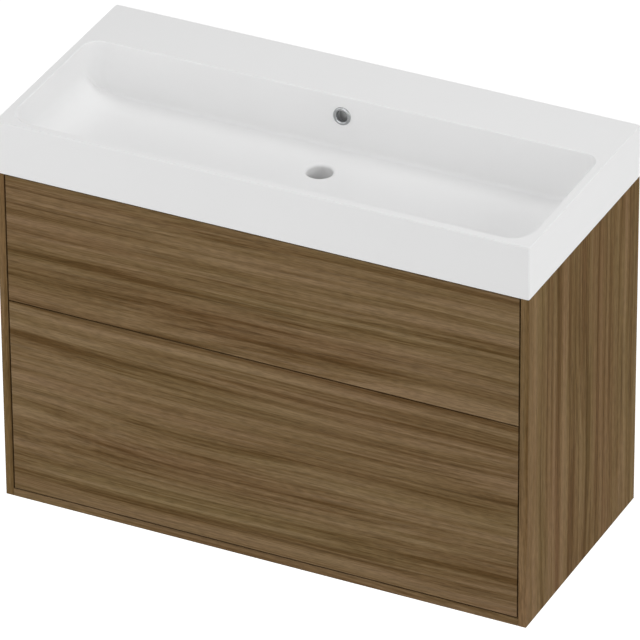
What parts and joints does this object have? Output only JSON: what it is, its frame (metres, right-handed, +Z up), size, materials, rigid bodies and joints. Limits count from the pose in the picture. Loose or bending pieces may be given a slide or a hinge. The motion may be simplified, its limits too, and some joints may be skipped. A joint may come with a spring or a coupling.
{
  "type": "vanity unit",
  "caption": "Wall-hung vanity unit: a full-width rectangular basin with a chrome overflow ring, on a wood-finish cabinet with inset handleless push-to-open drawers.",
  "frame": {"origin": "middle of the four wall fixing holes, in the plane of the wall", "axes": "+X to the right, +Y back to the wall, +Z up"},
  "size_m": [1, 0.456, 0.751],
  "materials": {
    "glazed_ceramic": "white gloss glaze",
    "walnut_melamine": "brown wood decor with a matt grain",
    "drawer_melamine": "pale grey matt melamine",
    "chrome": "polished",
    "galvanised_steel": "zinc plated sheet",
    "zinc_fitting": "zinc plated",
    "grey_plastic": "moulded",
    "pale_plastic": "moulded"
  },
  "bodies": {
    "cabinet": {"basin": "glazed_ceramic", "overflow_ring": "chrome", "left_side_panel": "walnut_melamine", "right_side_panel": "walnut_melamine", "bottom_panel": "walnut_melamine", "top_back_rail": "walnut_melamine", "bottom_back_rail": "walnut_melamine", "front_rail": "walnut_melamine", "cam_locks": "zinc_fitting", "cam_bolts": "zinc_fitting", "hanger_housings": "galvanised_steel", "hanger_hooks": "zinc_fitting", "hanger_screws": "zinc_fitting", "wall_plates": "galvanised_steel", "upper_fixed_runner_left": "galvanised_steel", "upper_fixed_runner_right": "galvanised_steel", "lower_fixed_runner_left": "galvanised_steel", "lower_fixed_runner_right": "galvanised_steel", "runner_screws": "zinc_fitting", "upper_latch_housings": "grey_plastic", "lower_latch_housings": "grey_plastic"},
    "upper_drawer": {"upper_front": "walnut_melamine", "upper_side_left": "drawer_melamine", "upper_side_right": "drawer_melamine", "upper_backs": "drawer_melamine", "upper_bottom": "drawer_melamine", "upper_cutout_walls": "drawer_melamine", "upper_drawer_runner_left": "galvanised_steel", "upper_drawer_runner_right": "galvanised_steel", "upper_runner_clips": "grey_plastic", "upper_front_brackets": "zinc_fitting"},
    "lower_drawer": {"lower_front": "walnut_melamine", "lower_side_left": "drawer_melamine", "lower_side_right": "drawer_melamine", "lower_back": "drawer_melamine", "lower_bottom": "drawer_melamine", "lower_drawer_runner_left": "galvanised_steel", "lower_drawer_runner_right": "galvanised_steel", "lower_runner_clips": "grey_plastic", "lower_front_brackets": "zinc_fitting"},
    "upper_left_carriage": {"upper_carriage_left": "galvanised_steel"},
    "upper_right_carriage": {"upper_carriage_right": "galvanised_steel"},
    "lower_left_carriage": {"lower_carriage_left": "galvanised_steel"},
    "lower_right_carriage": {"lower_carriage_right": "galvanised_steel"},
    "upper_plungers": {"upper_latch_plungers": "pale_plastic"},
    "lower_plungers": {"lower_latch_plungers": "pale_plastic"}
  },
  "joints": [
    {"name": "upper_drawer_slide", "type": "slide", "parent": "cabinet", "child": "upper_drawer", "axis": [0, -1, 0], "range_m": [-0.0025, 0.35]},
    {"name": "lower_drawer_slide", "type": "slide", "parent": "cabinet", "child": "lower_drawer", "axis": [0, -1, 0], "range_m": [-0.0025, 0.35]},
    {"name": "upper_left_carriage_slide", "type": "slide", "parent": "cabinet", "child": "upper_left_carriage", "axis": [0, -1, 0], "range_m": [-0.00125, 0.175]},
    {"name": "upper_right_carriage_slide", "type": "slide", "parent": "cabinet", "child": "upper_right_carriage", "axis": [0, -1, 0], "range_m": [-0.00125, 0.175]},
    {"name": "lower_left_carriage_slide", "type": "slide", "parent": "cabinet", "child": "lower_left_carriage", "axis": [0, -1, 0], "range_m": [-0.00125, 0.175]},
    {"name": "lower_right_carriage_slide", "type": "slide", "parent": "cabinet", "child": "lower_right_carriage", "axis": [0, -1, 0], "range_m": [-0.00125, 0.175]},
    {"name": "upper_plungers_slide", "type": "slide", "parent": "cabinet", "child": "upper_plungers", "axis": [0, -1, 0], "range_m": [-0.0002, 0.028]},
    {"name": "lower_plungers_slide", "type": "slide", "parent": "cabinet", "child": "lower_plungers", "axis": [0, -1, 0], "range_m": [-0.0002, 0.028]}
  ],
  "couplings": [
    {"joint": "upper_left_carriage_slide", "follows": "upper_drawer_slide", "ratio": 0.5},
    {"joint": "upper_right_carriage_slide", "follows": "upper_drawer_slide", "ratio": 0.5},
    {"joint": "lower_left_carriage_slide", "follows": "lower_drawer_slide", "ratio": 0.5},
    {"joint": "lower_right_carriage_slide", "follows": "lower_drawer_slide", "ratio": 0.5},
    {"joint": "upper_plungers_slide", "follows": "upper_drawer_slide", "ratio": 0.08},
    {"joint": "lower_plungers_slide", "follows": "lower_drawer_slide", "ratio": 0.08}
  ]
}
